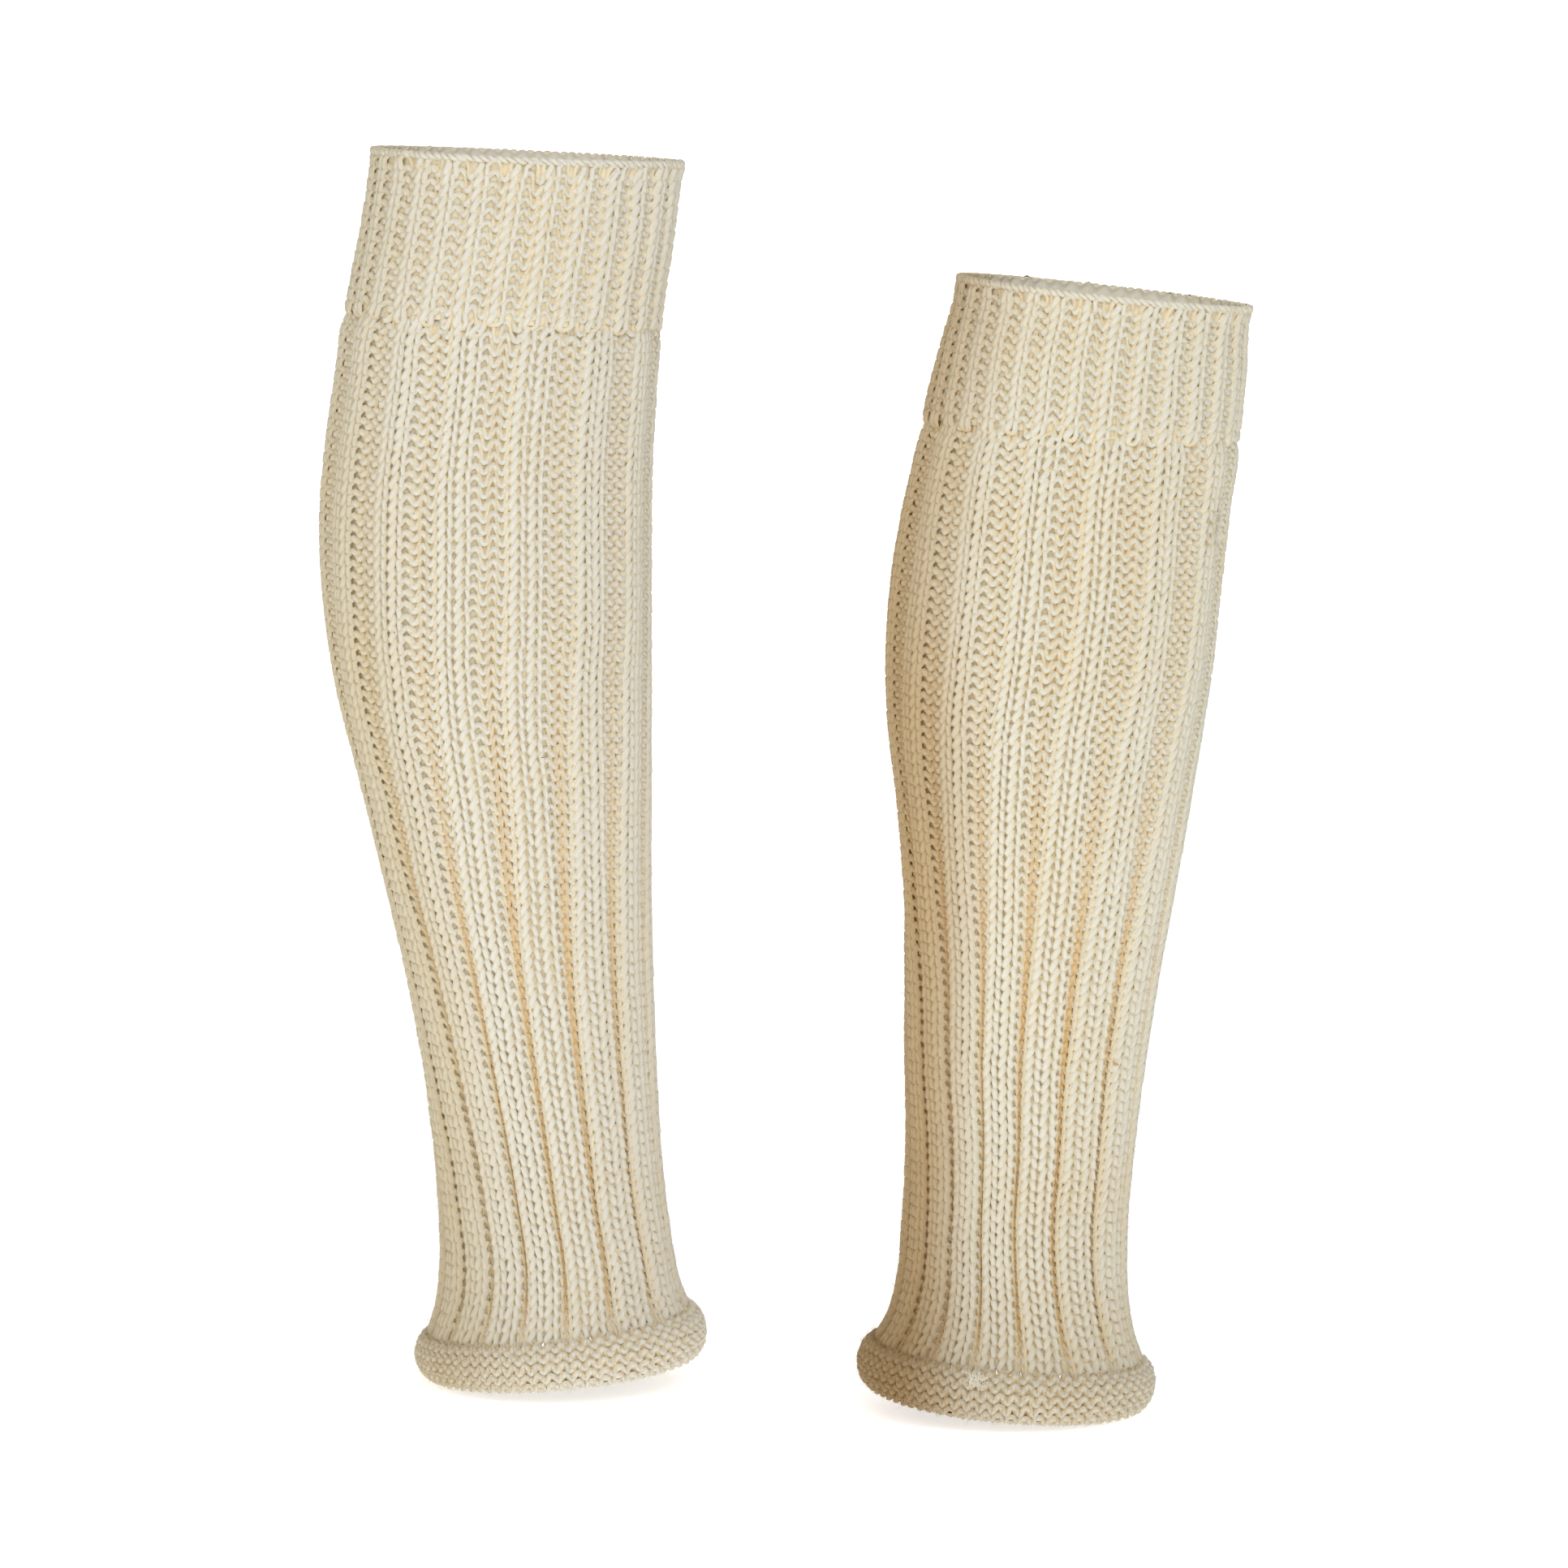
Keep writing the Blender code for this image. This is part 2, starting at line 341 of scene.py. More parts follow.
# Lengths below the cuff from and over which the ankle's painted shade comes in, and its strength at
# the shin and what it gains towards the calf
ANKLE_SHADE_FROM = 150.0
ANKLE_SHADE_OVER = 200.0
ANKLE_SHADE_SHIN = 0.45
ANKLE_SHADE_CALF = 0.55

# Bits of chaff: wale, course, heading from the wale in degrees, length and width in millimetres, how
# tan. They lie this far above the yarns, and bend sideways and outwards.
FLECK_LIFT = 0.15
FLECK_ASIDE = 0.4
FLECK_OUT = 0.15
FLECKS = {
    "left": {
        "cuff": ((1.7, 5.8, 15, 1.3, 0.5, 0.5), (2.2, 5.6, 70, 0.8, 0.4, 0.7)),
        "leg": (
            (50.5, 26.1, 50, 0.9, 0.3, 0.1),
            (47.9, 31.5, 100, 0.7, 0.3, 0.3),
            (2.6, 36.4, 95, 0.9, 0.3, 0.0),
            (2.3, 47.6, 80, 1.1, 0.3, 0.0),
            (46.4, 52.3, 40, 0.8, 0.3, 0.3),
            (40.6, 72.8, 70, 0.9, 0.3, 0.0),
            (51.4, 78.2, 85, 1.3, 0.3, 0.0),
            (47.5, 83.4, 30, 1.0, 0.5, 0.0),
        ),
        "hem": ((42.0, 1.9, 60, 0.8, 0.4, 0.0),),
    },
    "right": {
        "cuff": ((47.6, 3.7, 75, 0.9, 0.3, 0.2),),
        "leg": (
            (6.4, 26.3, 60, 0.8, 0.3, 0.2),
            (8.7, 55.4, 75, 2.0, 1.0, 0.9),
            (9.3, 6.9, 80, 2.0, 1.3, 0.9),
            (9.5, 7.9, 20, 1.8, 1.0, 0.8),
            (9.2, 8.7, 70, 1.8, 1.2, 1.0),
        ),
    },
}

# Tufts of loose fluff: wale, course, half their spread in wales and in courses, fibres, longer than fuzz
TUFTS = {
    "left": {},
    "right": {"leg": ((10.6, 7.2, 0.5, 1.5, 220, 1.3),), "hem": ((52.7, 2.3, 0.6, 0.45, 170, 1.0),)},
}
TUFT_FIBRE = 0.17

# A loose hair near the lower edge of the right cuff: wales and courses, its lift and its width
HAIR = ((44.2, 9.6), (44.2, 10.8), (43.5, 11.4), (42.0, 11.7), (41.0, 11.9))
HAIR_LIFT = 0.3
HAIR_WIDTH = 0.16

# The camera at the photograph's angle: its place and aim in metres, lens and sensor in millimetres
CAMERA = (0.0986, -2.30, 0.112)
CAMERA_AIM = (0.0986, 0.0, -0.1648)
LENS = 149.9
SENSOR = 36.0
FARTHEST = 50.0

# The sweep, a floor that bends up into a wall: its half width, where the floor starts and where it
# bends, the bend's radius, the wall's top, and the gap under the hems
SWEEP_HALF_WIDTH = 7.0
SWEEP_FRONT = -6.0
SWEEP_BACK = 3.6
SWEEP_BEND = 0.8
SWEEP_TOP = 5.0
SWEEP_GAP = 0.0008
BEND_START = 0.1
BEND_POINTS = 14

# Its fan of light starts at the place above, which stays when the camera moves, and fades to the left
# and the right between these slopes, on the right to a share. Depths are no less than so much. In
# front of the part it fades to an even level.
FAN_LEFT = (-0.55, -0.14)
FAN_RIGHT = (0.5, 0.14)
FAN_RIGHT_LEAST = 0.2
FAN_DEPTH = 0.5
FAN_FRONT = (-0.8, -0.3)
EVEN = 0.5

# Its tones from shade to light, its glow by light, and the glow's strength with distance
SHADE = (0.75, 0.75, 0.75, 1)
PALE = (0.93, 0.93, 0.93, 1)
GLOW_POWER = 1.5
GLOW_LEAST = 0.2
GLOW_PLACES = (0.3, 3.0)
GLOW_STRENGTHS = (0.6, 0.84)

# Soft lights, all aimed at the part: place, size, power and colour, and the light from all round
LIGHTS = {
    "key": ((0.4, -1.75, 1.0), 1.8, 20.4, (1, 1, 1)),
    "left": ((-1.8, -0.6, 0.5), 1.6, 7.0, (1.0, 0.88, 0.70)),
}
LIGHT_AIM = (0.1, -0.02, -0.16)
WORLD = 0.27

rng = np.random.default_rng(SEED)


# Surfaces

def rings_at(rings, z):
    """A Ring of arrays: the smooth curve through the rings at each height z."""
    table = np.array(rings, float)[::-1]
    knots = table[:, 0]
    slopes = np.gradient(table, knots, axis=0)
    z = np.clip(z, knots[0], knots[-1])
    i = np.clip(np.searchsorted(knots, z) - 1, 0, len(knots) - 2)
    step = (knots[i + 1] - knots[i])[..., None]
    t = ((z - knots[i]) / (knots[i + 1] - knots[i]))[..., None]
    low, high = table[i], table[i + 1]
    curve = (
        low * (1 + 2 * t) * (1 - t) ** 2
        + high * t * t * (3 - 2 * t)
        + slopes[i] * step * t * (1 - t) ** 2
        - slopes[i + 1] * step * t * t * (1 - t)
    )
    return Ring(*np.moveaxis(curve, -1, 0))


def angle_at(ring, wales):
    """The angle of a wale round the tube, from the side that the photograph shows."""
    turn = math.tau * wales / WALES
    return turn - np.radians(ring.crowd) * np.sin(turn - CROWDED_AT) + np.radians(ring.twist)


def warp(s, rib, share, squeeze):
    """Where s lies round the tube, in wales, once knit wales take their share, and the groove's depth."""
    q = np.mod(s - rib.first, rib.repeat)
    quarter = rib.repeat / 4
    purl, knit = 2 * (1 - share), 2 * share
    past_knit = rib.repeat - (rib.repeat - q) * purl
    on_knit = quarter * purl + (q - quarter) * knit
    even = np.where(q < quarter, q * purl, np.where(q > 3 * quarter, past_knit, on_knit))
    wide = 1 - np.abs(np.sin(math.pi * q / rib.repeat)) ** WIDE_POWER
    closed = 1 / (1 + (np.minimum(q, rib.repeat - q) / (CLOSED_WIDTH * quarter)) ** CLOSED_POWER)
    return s - q + even - rib.first, wide + (closed - wide) * squeeze


def section(ring, wales, out, up, z, place):
    """Points and outward normals on a section, out from its crest and up from its plane, and the way up."""
    angle = angle_at(ring, wales)
    side, front = np.sin(angle), -np.cos(angle)
    x, y = (ring.half_x + out) * side, (ring.half_y + out) * front
    nx, ny = ring.half_y * side, ring.half_x * front
    size = np.hypot(nx, ny)
    tilt = np.radians(ring.tilt)
    c, d = np.cos(tilt), np.sin(tilt)
    points = np.stack([ring.x + x * c + up * d, y, z - x * d + up * c], -1) + np.array(place)
    normals = np.stack([nx / size * c, ny / size, -nx / size * d], -1)
    return points, normals, np.stack([d, 0 * d, c], -1)


def tube_surface(rings, place, top, pitch, rib, flares=False):
    """The surface of a ribbed tube, which gives points, outward normals and the groove's depth."""
    last = (top - rings[-1].z) / pitch

    def surface(s, v, out):
        z = top - pitch * v
        ring = rings_at(rings, z)
        if flares:
            end = np.clip(1 - (last - v) / FLARE_COURSES, 0, 1) ** 2
            out = out + FLARE * end
            ring = ring._replace(rib=ring.rib * (1 - FLAT_END * end))
            out = out - SEAM_DIP * np.exp(-((v / SEAM_REACH) ** 2)) * np.clip(1 + out / LEG_BACK, 0, 1)
        share = 0.5 + (ring.share - 0.5) * rib.gain
        wales, groove = warp(s, rib, share, squeeze_at(v))
        points, normals, _ = section(ring, wales, out - ring.rib * groove, 0.0, z, place)
        return points, normals, ring.rib * groove

    def squeeze_at(v):
        """1 where the tube is so slack that the purl wales close up, 0 where it is stretched."""
        return np.clip((rings_at(rings, top - pitch * v).share - 0.5) * rib.gain / CLOSED, 0, 1)

    surface.squeeze_at = squeeze_at
    return surface


def hem_surface(warmer):
    """The surface of the rolled hem. v counts courses from its upper edge, outwards and down."""
    ring = warmer.leg[-1]
    crest = WALL + ring.rib
    start = math.acos((crest + HEM_SEAT_MARGIN - HEM_OUT) / HEM_HALF_WIDTH)
    fine = np.radians(np.linspace(HEM_FROM, HEM_FROM - 360.0, HEM_STEPS + 1))
    steps = np.hypot(HEM_HALF_WIDTH * np.sin(fine), HEM_HALF_HEIGHT * np.cos(fine))
    step = math.radians(360.0 / HEM_STEPS)
    along = np.concatenate([[0.0], np.cumsum((steps[1:] + steps[:-1]) / 2 * step)])

    def surface(s, v, out):
        s, v, out = np.broadcast_arrays(s, v, out)
        angle = angle_at(ring, s)
        taller = 1.0 + warmer.hem_side * np.sin(angle) + warmer.hem_front * np.cos(angle)
        half_height = HEM_HALF_HEIGHT * taller
        phi = np.interp(v * HEM_PITCH, along, fine)
        middle_up = HEM_SEAT_MARGIN - half_height * math.sin(start)
        slope = np.hypot(half_height * np.cos(phi), HEM_HALF_WIDTH * np.sin(phi))
        n_out, n_up = half_height * np.cos(phi) / slope, HEM_HALF_WIDTH * np.sin(phi) / slope
        from_crest = HEM_OUT + HEM_HALF_WIDTH * np.cos(phi) - crest + out * n_out
        up = middle_up + half_height * np.sin(phi) + out * n_up
        points, normals, axis = section(ring, s, from_crest, up, ring.z, warmer.place)
        outward = normals * n_out[..., None] + axis * n_up[..., None]
        return points, outward, np.zeros_like(phi)

    surface.squeeze_at = np.zeros_like
    return surface


# Yarn

def eased(x):
    """The whole part of x, and its fraction eased in and out."""
    i = np.floor(x).astype(int)
    t = x - i
    return i, t * t * (3 - 2 * t)


def uneven(rows, size):
    """Smooth noise along every course, with two values a stitch."""
    knots = rng.normal(0.0, size, (rows, 2 * WALES))
    i, t = eased(np.arange(WALES * POINTS) * 2 / POINTS)
    return knots[:, i % (2 * WALES)] * (1 - t) + knots[:, (i + 1) % (2 * WALES)] * t


def drift(rows):
    """Noise that drifts slowly from course to course and from wale to wale."""
    around = WALES // DRIFT_WALES
    knots = rng.normal(0.0, DRIFT, (rows // DRIFT_COURSES + 3, around))
    i, t = eased(np.arange(rows) / DRIFT_COURSES)
    down = knots[i] * (1 - t[:, None]) + knots[i + 1] * t[:, None]
    j, u = eased(np.arange(WALES * POINTS) / (DRIFT_WALES * POINTS))
    return down[:, j % around] * (1 - u) + down[:, (j + 1) % around] * u


def knit_side(p, rib):
    """1 in a knit wale, -1 in a purl wale, and between them where one turns over into the other."""
    half = rib.repeat / 2
    x = np.mod(p - (rib.first + half) - TURN_SHIFT + half, rib.repeat) - half
    return np.sin(np.clip((half / 2 - np.abs(x)) / TURNOVER, -1, 1) * math.pi / 2)


def courses(surface, rows, first, rib=None, upwards=False, edges=()):
    """The yarns of some courses: centre lines, outward directions, radii, front and groove.

    Without a rib all stitches are purl. With upwards their loops point the other way.
    """
    even = np.arange(POINTS) * math.tau / POINTS
    t = np.tile(even - CROWDED_TURNS * np.sin(2 * even), WALES)
    p = np.repeat(np.arange(WALES), POINTS) + t / math.tau
    side = knit_side(p, rib) if rib else -np.ones_like(p)
    knit = (side + 1) / 2
    slack = np.ones((rows, 1))
    slack[list(edges)] = EDGE_SLACK
    bulge = PURL_BULGE + (KNIT_BULGE - PURL_BULGE) * knit
    down = (REACH + PURL_REACH * (1 - knit)) * np.cos(t) * (1 if upwards else -1)
    v = first + 0.5 + np.arange(rows)[:, None] + down + uneven(rows, UNEVEN_DOWN) * slack
    squeeze = surface.squeeze_at(v)
    lean = LEAN * knit * np.cos(t) * (1 - CLOSED_LEAN * squeeze)
    s = p + bulge * np.sin(2 * t) + lean + PURL_SHIFT * (1 - knit)
    s = s + uneven(rows, UNEVEN_ACROSS) * slack + drift(rows)
    loose_leg = LOOSE_LEG * np.sin(t) * (1 - CLOSED_LEAN * squeeze)
    radius = YARN * (PURL_YARN + knit * (1 - PURL_YARN + loose_leg)) * (1 + uneven(rows, UNEVEN_YARN))
    radius = radius * (1 + squeeze * (knit * CLOSED_KNIT - (1 - knit) * CLOSED_PURL))
    # How much a point faces the front: the back of a loop takes the painted shade
    front = -np.cos(2 * t) * side
    swing = SWING * (1 - squeeze * (1 - knit) * CLOSED_SWING)
    out = LIFT - (SWING + radius) + swing * front + uneven(rows, UNEVEN_OUT) * slack
    points, outward, groove = surface(s, v, out)
    return points, outward, radius, np.broadcast_to(front, s.shape) * 0.5 + 0.5, groove


def edge_chain(surface):
    """The two strands of the cast-on chain, wound round each other, in the form that courses gives."""
    a = np.arange(WALES * CHAIN_POINTS) / CHAIN_POINTS
    turn = math.tau * a + np.array([[0.0], [math.pi]])
    s = np.broadcast_to(a, turn.shape)
    v = CHAIN_AT + CHAIN_SWING * CHAIN_DOWN * np.sin(turn)
    points, outward, groove = surface(s, v, CHAIN_OUT + CHAIN_SWING * np.cos(turn))
    radius = CHAIN_YARN * (1 + CHAIN_SWELL * np.sin(CHAIN_SWELLS * s))
    level, change = CHAIN_FRONT
    return points, outward, radius, level + change * np.cos(turn), groove


def tube_mesh(name, points, outward, radius, front, groove, profile):
    """One mesh of closed yarns, a row of points each, with the section that profile gives."""
    rows, count = points.shape[:2]
    along = np.roll(points, -1, 1) - np.roll(points, 1, 1)
    along /= np.linalg.norm(along, axis=-1, keepdims=True)
    n = outward - (outward * along).sum(-1, keepdims=True) * along
    n /= np.linalg.norm(n, axis=-1, keepdims=True)
    b = np.cross(along, n)
    angles = np.radians(profile)
    spread = np.cos(angles)[:, None] * n[:, :, None] + np.sin(angles)[:, None] * b[:, :, None]
    verts = (points[:, :, None] + radius[:, :, None, None] * spread).reshape(-1, 3) * MM
    q = len(profile)
    strips = q if profile is WHOLE else q - 1
    r, c, k = np.meshgrid(np.arange(rows), np.arange(count), np.arange(strips), indexing="ij")
    c2, k2 = (c + 1) % count, (k + 1) % q
    corners = [(c, k), (c2, k), (c2, k2), (c, k2)]
    quads = np.stack([(r * count + i) * q + j for i, j in corners], -1).reshape(-1, 4)
    u0, u1 = c / count, (c + 1) / count
    v0 = (r + k / strips * BAND + BAND_MARGIN) / rows
    v1 = (r + (k + 1) / strips * BAND + BAND_MARGIN) / rows
    uv = np.stack([u0, v0, u1, v0, u1, v1, u0, v1], -1).reshape(-1, 2)
    size = (rows, count, q)
    length = np.broadcast_to(np.arange(count)[None, :, None] / POINTS, size)
    # Painted shade: a yarn's sides take more than its crest, and points that look inwards the reverse
    shown = front[:, :, None] * (SIDE_FRONT + CREST_FRONT * np.cos(angles))
    values = {
        "front": np.where(np.cos(angles) < INWARDS, 1 - front[:, :, None], shown),
        "groove": np.broadcast_to(groove[:, :, None], size),
        "along": length + np.arange(rows)[:, None, None] * PLY_OFFSET,
        "around": np.broadcast_to(angles / math.tau, size),
    }
    return mesh_of(name, verts, quads, uv, values)


def mesh_of(name, verts, quads, uv, values):
    """A smooth object of quads with the map OFBake and a point value for each name."""
    data = bpy.data.meshes.new(name)
    data.vertices.add(len(verts))
    data.vertices.foreach_set("co", np.asarray(verts, np.float32).ravel())
    data.loops.add(quads.size)
    data.loops.foreach_set("vertex_index", quads.astype(np.int32).ravel())
    data.polygons.add(len(quads))
    data.polygons.foreach_set("loop_start", np.arange(0, quads.size, 4, dtype=np.int32))
    data.polygons.foreach_set("loop_total", np.full(len(quads), 4, np.int32))
    data.update(calc_edges=True)
    layer = data.uv_layers.new(name="OFBake")
    layer.data.foreach_set("uv", np.asarray(uv, np.float32).ravel())
    for key, value in values.items():
        attribute = data.attributes.new(key, "FLOAT", "POINT")
        attribute.data.foreach_set("value", np.asarray(value, np.float32).ravel())
    data.shade_smooth()
    obj = bpy.data.objects.new(name, data)
    bpy.context.scene.collection.objects.link(obj)
    return obj


def face(name, surface, rows, extent, back, relief=False):
    """A face of the cloth behind the yarns. For relief it carries the wale and the course of each point."""
    start, past, down = extent
    s, v = np.meshgrid(np.linspace(0, WALES, ACROSS + 1), np.linspace(start, rows + past, down + 1))
    points, _, groove = surface(s, v, np.full(s.shape, -back))
    columns = ACROSS + 1 if relief else ACROSS
    i, j = np.meshgrid(np.arange(down), np.arange(ACROSS), indexing="ij")
    corners = ((i, j), (i + 1, j), (i + 1, j + 1), (i, j + 1))
    quads = np.stack([a * columns + b % columns for a, b in corners], -1).reshape(-1, 4)
    uv = np.stack([np.stack([b / ACROSS, a / down], -1) for a, b in corners], -2).reshape(-1, 2)
    verts = points[:, :columns].reshape(-1, 3) * MM
    # A face behind the yarns takes the painted shade of a loop's back, a lining the colour of its front
    values = {"front": np.full(len(verts), float(relief)), "groove": groove[:, :columns].ravel()}
    if relief:
        values.update({"wale": s.ravel(), "course": v.ravel()})
    return mesh_of(name, verts, quads, uv, values)


def unit(vectors):
    """The direction of each vector."""
    return vectors / np.linalg.norm(vectors, axis=1, keepdims=True)


def tangents(surface, s, v):
    """Unit vectors along the course and down the wale, and the outward normal."""
    here, n, _ = surface(s, v, np.zeros(len(s)))
    across = unit(surface(s + STEP, v, np.zeros(len(s)))[0] - here)
    return across, np.cross(across, n), n


def fibres(name, root, first, second, normal, length, width, values):
    """Ribbons of two quads each, in the directions first and then second, that narrow to their tips."""
    count = len(root)
    first = unit(first)
    middle = root + first * length * 0.5
    tip = middle + unit(second) * length * 0.5
    side = np.cross(first, normal)
    side *= width / 2 / np.linalg.norm(side, axis=1, keepdims=True)
    rows = [root - side, root + side, middle - side, middle + side, tip - side * TIP, tip + side * TIP]
    verts = np.stack(rows, 1).reshape(-1, 3) * MM
    base = np.arange(count)[:, None] * len(rows)
    quads = np.concatenate([base + [0, 1, 3, 2], base + [2, 3, 5, 4]], 1).reshape(-1, 4)
    grid = math.ceil(math.sqrt(count))
    cell = np.stack([np.arange(count) % grid, np.arange(count) // grid], 1) / grid
    half = CELL / 2
    lower = [(0, 0), (CELL, 0), (CELL, half), (0, half)]
    upper = [(0, half), (CELL, half), (CELL, CELL), (0, CELL)]
    uv = (cell[:, None] + np.array(lower + upper) / grid).reshape(-1, 2)
    at_points = {key: np.repeat(value, len(rows)) for key, value in values.items()}
    return mesh_of(name, verts, quads, uv, at_points)


def fuzz(name, surface, count, v_range, s_range=(0, WALES), longer=1.0, width=FIBRE):
    """Fine bent fibres that stand off the yarns."""
    s, v = rng.uniform(*s_range, count), rng.uniform(*v_range, count)
    root, _, groove = surface(s, v, np.full(count, LIFT) - rng.uniform(0.0, FUZZ_DEPTH, count))
    across, down, n = tangents(surface, s, v)
    heading = rng.uniform(0, math.tau, count)[:, None]
    rise = rng.uniform(0.0, FUZZ_RISE, count)[:, None]
    first = np.cos(heading) * across + np.sin(heading) * down + rise * n
    length = rng.gamma(FUZZ_SHAPE, FUZZ_SCALE * longer, count)[:, None]
    second = unit(first) + rng.normal(0.0, FUZZ_BEND, (count, 3)) - FUZZ_DROOP * n
    facing = n + FUZZ_TURN * rng.normal(size=(count, 3))
    values = {"front": np.ones(count), "groove": groove * FUZZ_GROOVE}
    return fibres(name, root, first, second, facing, length, width, values)


def flecks(name, surface, marks):
    """Bits of chaff on the yarns, at the wale and course of each mark."""
    s, v, heading, length, width, tan = np.array(marks, float).T
    root, _, _ = surface(s, v, np.full(len(s), LIFT + FLECK_LIFT))
    across, down, n = tangents(surface, s, v)
    heading = np.radians(heading)[:, None]
    along = np.sin(heading) * across + np.cos(heading) * down
    bent = along + FLECK_ASIDE * np.cross(along, n) + FLECK_OUT * n
    return fibres(name, root, along, bent, n, length[:, None], width[:, None], {"tan": tan})


def hair(name, surface, places):
    """A loose hair laid on the yarns through some places, each a wale and a course."""
    s, v = np.array(places, float).T
    root, n, _ = surface(s, v, np.full(len(s), LIFT + HAIR_LIFT))
    way = root[1:] - root[:-1]
    length = np.linalg.norm(way, axis=1, keepdims=True)
    return fibres(name, root[:-1], way, way, n[:-1], length, HAIR_WIDTH, {"tan": np.zeros(len(way))})


# Materials

def new_material(name):
    """A material, its tree of nodes and the inputs of its shader."""
    material = bpy.data.materials.new(name)
    material.use_nodes = True
    return material, material.node_tree, material.node_tree.nodes["Principled BSDF"].inputs


def ranged(tree, source, between, to=(0.0, 1.0), smooth=False):
    """A node that stretches source from one range of values to another."""
    node = tree.nodes.new("ShaderNodeMapRange")
    if smooth:
        node.interpolation_type = "SMOOTHSTEP"
    node.inputs["From Min"].default_value, node.inputs["From Max"].default_value = between
    node.inputs["To Min"].default_value, node.inputs["To Max"].default_value = to
    tree.links.new(source, node.inputs["Value"])
    return node.outputs["Result"]


def blend(tree, factor, a, b, how="MIX"):
    """A node that mixes two colours, each an output or a constant."""
    node = tree.nodes.new("ShaderNodeMix")
    node.data_type = "RGBA"
    node.blend_type = how
    tree.links.new(factor, node.inputs["Factor"])
    for socket, colour in zip((node.inputs[6], node.inputs[7]), (a, b)):
        if isinstance(colour, tuple):
            socket.default_value = colour
        else:
            tree.links.new(colour, socket)
    return node.outputs[2]


def noise(tree, vector, scale, detail):
    """A node that gives smooth noise."""
    node = tree.nodes.new("ShaderNodeTexNoise")
    node.inputs["Scale"].default_value = scale
    node.inputs["Detail"].default_value = detail
    tree.links.new(vector, node.inputs["Vector"])
    return node.outputs["Fac"]


def stored(tree, name):
    """A node that reads a value that the mesh holds at each point."""
    node = tree.nodes.new("ShaderNodeAttribute")
    node.attribute_name = name
    return node.outputs["Fac"]


def maths(tree, operation, a, b=None):
    """A node that works out one number from one or two, each an output or a constant."""
    node = tree.nodes.new("ShaderNodeMath")
    node.operation = operation
    for socket, number in zip(node.inputs, (a, b)):
        if isinstance(number, float):
            socket.default_value = number
        elif number is not None:
            tree.links.new(number, socket)
    return node.outputs["Value"]


def course_relief(tree):
    """The height of the lining's courses, which wave with the wales."""
    wave = maths(tree, "SINE", maths(tree, "MULTIPLY", stored(tree, "wale"), math.tau))
    row = maths(tree, "ADD", stored(tree, "course"), maths(tree, "MULTIPLY", wave, WAVE))
    return maths(tree, "ABSOLUTE", maths(tree, "SINE", maths(tree, "MULTIPLY", row, math.pi)))


def wool_colour(tree, place, near, front, back, deep, stain, rear, low):
    """Pale at the front of a loop, painted tan shade behind it and deeper in a groove, with the tints over
    that.
    """
    sunk = ranged(tree, stored(tree, "groove"), GROOVE_RANGE)
    sunk = maths(tree, "MULTIPLY", sunk, ranged(tree, near, (0.0, 1.0), (1.0, SUNK_FRONT)))
    colour = blend(tree, near, back, front)
    colour = blend(tree, sunk, colour, deep)
    patches = ranged(tree, noise(tree, place, *PATCH_NOISE), PATCH_RANGE, (0.0, PATCHES))
    colour = blend(tree, patches, colour, stain, "MULTIPLY")
    behind = ranged(tree, stored(tree, "rear"), REAR_RANGE, smooth=True)
    colour = blend(tree, behind, colour, rear, "MULTIPLY")
    return blend(tree, stored(tree, "low"), colour, low, "MULTIPLY")


def wool(name, colours, lined=False):
    """Wool yarn with plies, fibres and a soft sheen. Lined, it also has the relief of courses."""
    material, tree, shader = new_material(name)
    shader["Roughness"].default_value = 0.92
    shader["Specular IOR Level"].default_value = 0.12
    shader["Sheen Weight"].default_value = 0.25
    shader["Sheen Roughness"].default_value = 0.5
    shader["Sheen Tint"].default_value = SHEEN

    place = tree.nodes.new("ShaderNodeTexCoord").outputs["Object"]
    near = ranged(tree, stored(tree, "front"), FRONT_RANGE, smooth=True)
    if lined:
        row = course_relief(tree)
        # Painted shade between the lining's courses
        near = maths(tree, "MULTIPLY", near, ranged(tree, row, COURSE_RANGE, COURSE_TONES))
    colour = wool_colour(tree, place, near, *colours)

    yarn = tree.nodes.new("ShaderNodeCombineXYZ")
    tree.links.new(stored(tree, "along"), yarn.inputs["X"])
    tree.links.new(stored(tree, "around"), yarn.inputs["Y"])
    stretch = tree.nodes.new("ShaderNodeMapping")
    stretch.inputs["Scale"].default_value = (6.0, 14.0, 1.0)
    stretch.inputs["Rotation"].default_value = (0.0, 0.0, 0.5)
    tree.links.new(yarn.outputs["Vector"], stretch.inputs["Vector"])
    fibre = noise(tree, stretch.outputs["Vector"], *FIBRE_NOISE)
    tone = tree.nodes.new("ShaderNodeVectorMath")
    tone.operation = "SCALE"
    tree.links.new(colour, tone.inputs["Vector"])
    tree.links.new(ranged(tree, fibre, FIBRE_RANGE, FIBRE_TONES), tone.inputs["Scale"])
    tree.links.new(tone.outputs["Vector"], shader["Base Color"])

    specks = ranged(tree, noise(tree, place, *SPECK_NOISE), (0.0, 1.0), (0.0, SPECKS))
    height = maths(tree, "ADD", fibre, specks)
    if lined:
        height = maths(tree, "ADD", height, maths(tree, "MULTIPLY", row, COURSE_HEIGHT))
    bump = tree.nodes.new("ShaderNodeBump")
    bump.inputs["Strength"].default_value = 0.5
    bump.inputs["Distance"].default_value = 0.0004
    tree.links.new(height, bump.inputs["Height"])
    tree.links.new(bump.outputs["Normal"], shader["Normal"])
    return material


def plain(name, colour):
    """A matt material of one colour."""
    material, _, shader = new_material(name)
    shader["Base Color"].default_value = colour
    shader["Roughness"].default_value = 0.9
    shader["Specular IOR Level"].default_value = 0.1
    return material


